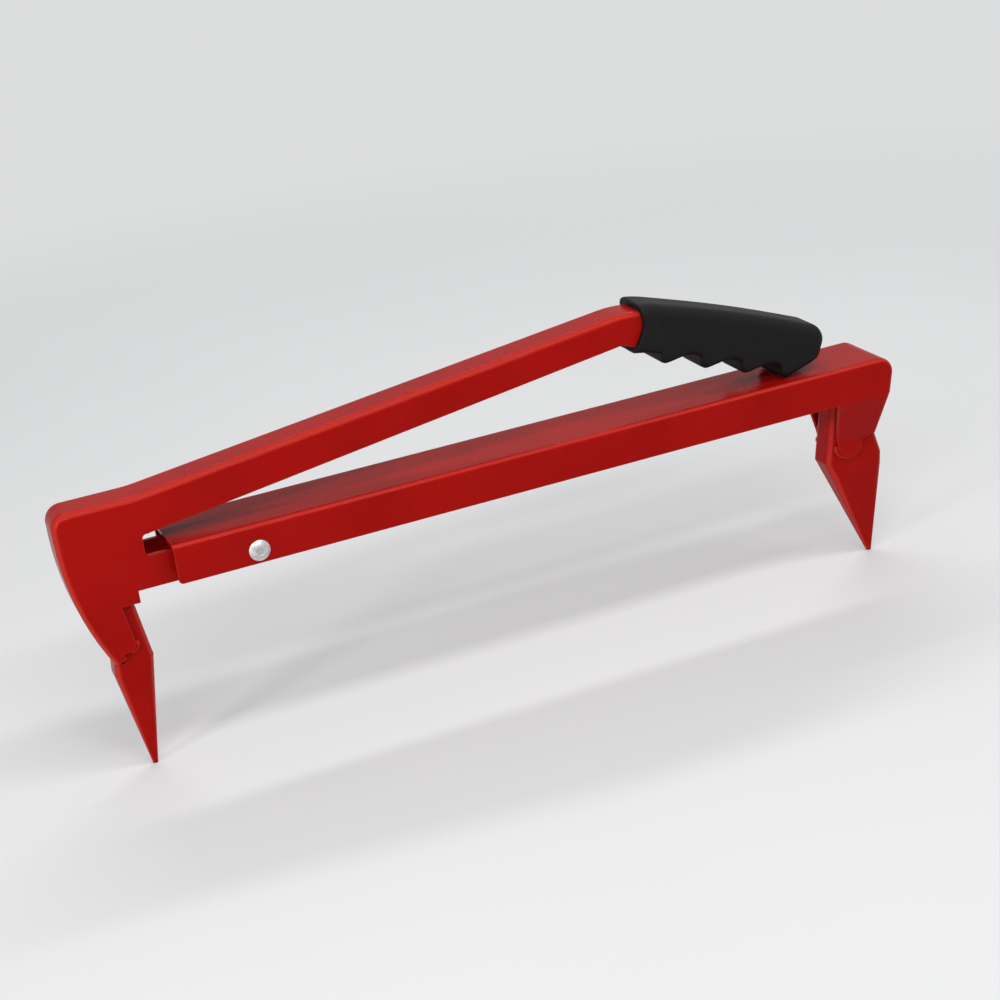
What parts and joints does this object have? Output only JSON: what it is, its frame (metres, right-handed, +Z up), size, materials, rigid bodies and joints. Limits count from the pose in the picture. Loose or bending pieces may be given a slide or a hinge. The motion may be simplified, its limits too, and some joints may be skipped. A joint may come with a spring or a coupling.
{
  "type": "brick tongs",
  "caption": "One-hand lifting tongs for bricks and blocks: a long steel bar with a fixed pointed claw, and a pivoting lever with the other claw and a moulded finger grip.",
  "frame": {"origin": "on the ground plane the two claw tips touch, in the middle of the overall length and of the width", "axes": "+X along the bar from the lever's claw to the bar's claw, +Y across the bar to the rear, +Z up"},
  "size_m": [0.442, 0.0448, 0.173],
  "materials": {
    "red_steel": "gloss red paint",
    "zinc_steel": "bright zinc plate",
    "black_grip": "matt moulded rubber"
  },
  "bodies": {
    "bar_body": {"bar": "red_steel", "bar_claw": "red_steel", "bar_claw_welds": "red_steel", "pivot_rivet": "zinc_steel", "spacer_front": "zinc_steel", "spacer_rear": "zinc_steel"},
    "lever_body": {"lever": "red_steel", "lever_claw": "red_steel", "lever_claw_welds": "red_steel", "centre_tube": "zinc_steel", "grip": "black_grip"}
  },
  "joints": [
    {"name": "lever_pivot", "type": "hinge", "parent": "bar_body", "child": "lever_body", "pos_m": [-0.13, 0, 0.1026], "axis": [0, -1, 0], "range_deg": [0, 10]}
  ]
}
